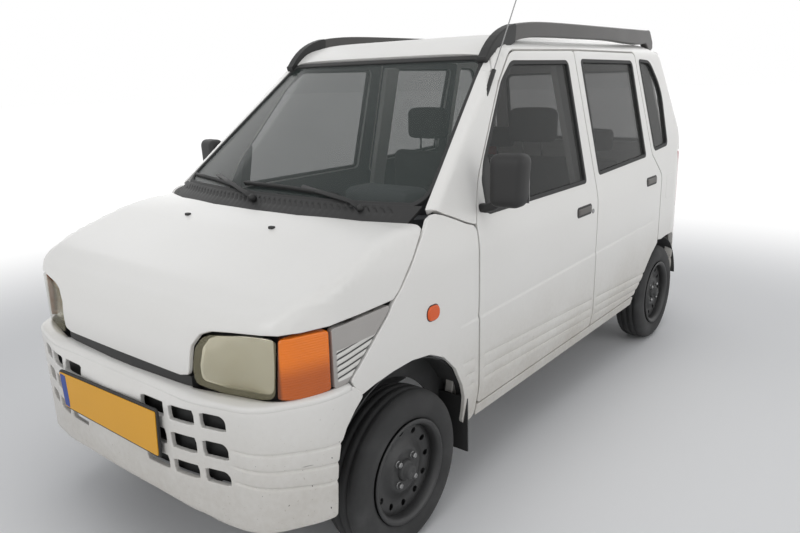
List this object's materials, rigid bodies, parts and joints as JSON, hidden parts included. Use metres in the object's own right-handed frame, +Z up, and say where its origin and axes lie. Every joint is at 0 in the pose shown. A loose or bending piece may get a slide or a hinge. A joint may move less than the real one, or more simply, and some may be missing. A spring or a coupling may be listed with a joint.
{
  "type": "kei car, four-door upright hatchback with a side-hinged tailgate",
  "caption": "Small upright four-door car with opening doors, bonnet and tailgate, steered front wheels and rolling tyres.",
  "frame": {"origin": "on the ground, midway along and across the car", "axes": "+X to the car's left, +Y to the rear, +Z up"},
  "size_m": [1.684, 3.318, 1.9604],
  "materials": {
    "paint_white": "gloss, slightly dirty",
    "underbody_black": "matt",
    "chassis_steel": "rough",
    "wheel_black": "satin, dusty",
    "tyre": "matt",
    "glass": "clear",
    "lamp_lens": "clouded",
    "amber_lens": "gloss",
    "red_lens": "gloss",
    "grey_trim": "satin",
    "black_plastic": "grained",
    "fabric_grey": "woven",
    "cabin_plastic": "grained",
    "plate_yellow": "reflective",
    "exhaust_steel": "dull",
    "rail_grey": "satin"
  },
  "bodies": {
    "body": {"body_sides": "paint_white", "quarter_glass": "glass", "roof": "paint_white", "windscreen": "glass", "tail_lamps": "red_lens", "rear_bumper": "paint_white", "headlamps": "lamp_lens", "indicators": "amber_lens", "corner_trims": "grey_trim", "front_fenders": "paint_white", "front_bumper": "paint_white", "underbody": "underbody_black", "subframe": "chassis_steel", "front_arms": "chassis_steel", "rear_axle": "chassis_steel", "arch_liners": "black_plastic", "mud_flaps": "black_plastic", "grille_panels": "black_plastic", "front_frame": "underbody_black", "front_seats": "fabric_grey", "rear_bench": "fabric_grey", "dashboard": "cabin_plastic", "engine": "chassis_steel", "exhaust": "exhaust_steel", "fuel_tank": "underbody_black", "roof_rails": "rail_grey", "aerial": "black_plastic", "cowl_and_wipers": "black_plastic", "front_plate": "plate_yellow"},
    "bonnet": {"bonnet": "paint_white"},
    "tailgate": {"tailgate": "paint_white", "tailgate_glass": "glass", "rear_plate": "plate_yellow"},
    "steering_wheel": {"steering_wheel": "cabin_plastic"},
    "knuckle_left": {"knuckle_left": "chassis_steel"},
    "door_front_left": {"door_front_left": "paint_white", "door_glass_front_left": "glass", "door_mirror_left": "black_plastic"},
    "door_rear_left": {"door_rear_left": "paint_white", "door_glass_rear_left": "glass"},
    "wheel_front_left": {"wheel_front_left": "wheel_black", "tyre_front_left": "tyre"},
    "wheel_rear_left": {"wheel_rear_left": "wheel_black", "tyre_rear_left": "tyre"},
    "knuckle_right": {"knuckle_right": "chassis_steel"},
    "door_front_right": {"door_front_right": "paint_white", "door_glass_front_right": "glass", "door_mirror_right": "black_plastic"},
    "door_rear_right": {"door_rear_right": "paint_white", "door_glass_rear_right": "glass"},
    "wheel_front_right": {"wheel_front_right": "wheel_black", "tyre_front_right": "tyre"},
    "wheel_rear_right": {"wheel_rear_right": "wheel_black", "tyre_rear_right": "tyre"}
  },
  "joints": [
    {"name": "steer_left", "type": "hinge", "parent": "body", "child": "knuckle_left", "pos_m": [0.56, -1.039, 0.15], "axis": [-0.1843, 0, 0.9829], "range_deg": [-35.1, 35.1]},
    {"name": "roll_front_left", "type": "hinge", "parent": "knuckle_left", "child": "wheel_front_left", "pos_m": [0.607, -1.039, 0.267], "axis": [1, 0, 0], "continuous": true},
    {"name": "roll_rear_left", "type": "hinge", "parent": "body", "child": "wheel_rear_left", "pos_m": [0.607, 1.261, 0.267], "axis": [1, 0, 0], "continuous": true},
    {"name": "door_front_left_swing", "type": "hinge", "parent": "body", "child": "door_front_left", "pos_m": [0.68, -0.614, 0.68], "axis": [0, 0, -1], "range_deg": [0, 62]},
    {"name": "door_rear_left_swing", "type": "hinge", "parent": "body", "child": "door_rear_left", "pos_m": [0.68, 0.3735, 0.68], "axis": [0, 0, -1], "range_deg": [0, 62]},
    {"name": "steer_right", "type": "hinge", "parent": "body", "child": "knuckle_right", "pos_m": [-0.56, -1.039, 0.15], "axis": [0.1843, 0, 0.9829], "range_deg": [-35.1, 35.1]},
    {"name": "roll_front_right", "type": "hinge", "parent": "knuckle_right", "child": "wheel_front_right", "pos_m": [-0.607, -1.039, 0.267], "axis": [1, 0, 0], "continuous": true},
    {"name": "roll_rear_right", "type": "hinge", "parent": "body", "child": "wheel_rear_right", "pos_m": [-0.607, 1.261, 0.267], "axis": [1, 0, 0], "continuous": true},
    {"name": "door_front_right_swing", "type": "hinge", "parent": "body", "child": "door_front_right", "pos_m": [-0.68, -0.614, 0.68], "axis": [0, 0, 1], "range_deg": [0, 62]},
    {"name": "door_rear_right_swing", "type": "hinge", "parent": "body", "child": "door_rear_right", "pos_m": [-0.68, 0.3735, 0.68], "axis": [0, 0, 1], "range_deg": [0, 62]},
    {"name": "bonnet_lift", "type": "hinge", "parent": "body", "child": "bonnet", "pos_m": [0, -0.9, 1.066], "axis": [-1, 0, 0], "range_deg": [0, 50]},
    {"name": "tailgate_swing", "type": "hinge", "parent": "body", "child": "tailgate", "pos_m": [-0.535, 1.64, 0.9], "axis": [0, 0, 1], "range_deg": [0, 90]},
    {"name": "steering_turn", "type": "hinge", "parent": "body", "child": "steering_wheel", "pos_m": [0.33, -0.34, 0.925], "axis": [0, -0.8211, -0.5708], "range_deg": [-595, 595]}
  ],
  "couplings": [
    {"joint": "steer_left", "follows": "steering_turn", "ratio": -0.058824},
    {"joint": "steer_right", "follows": "steering_turn", "ratio": -0.058824}
  ]
}
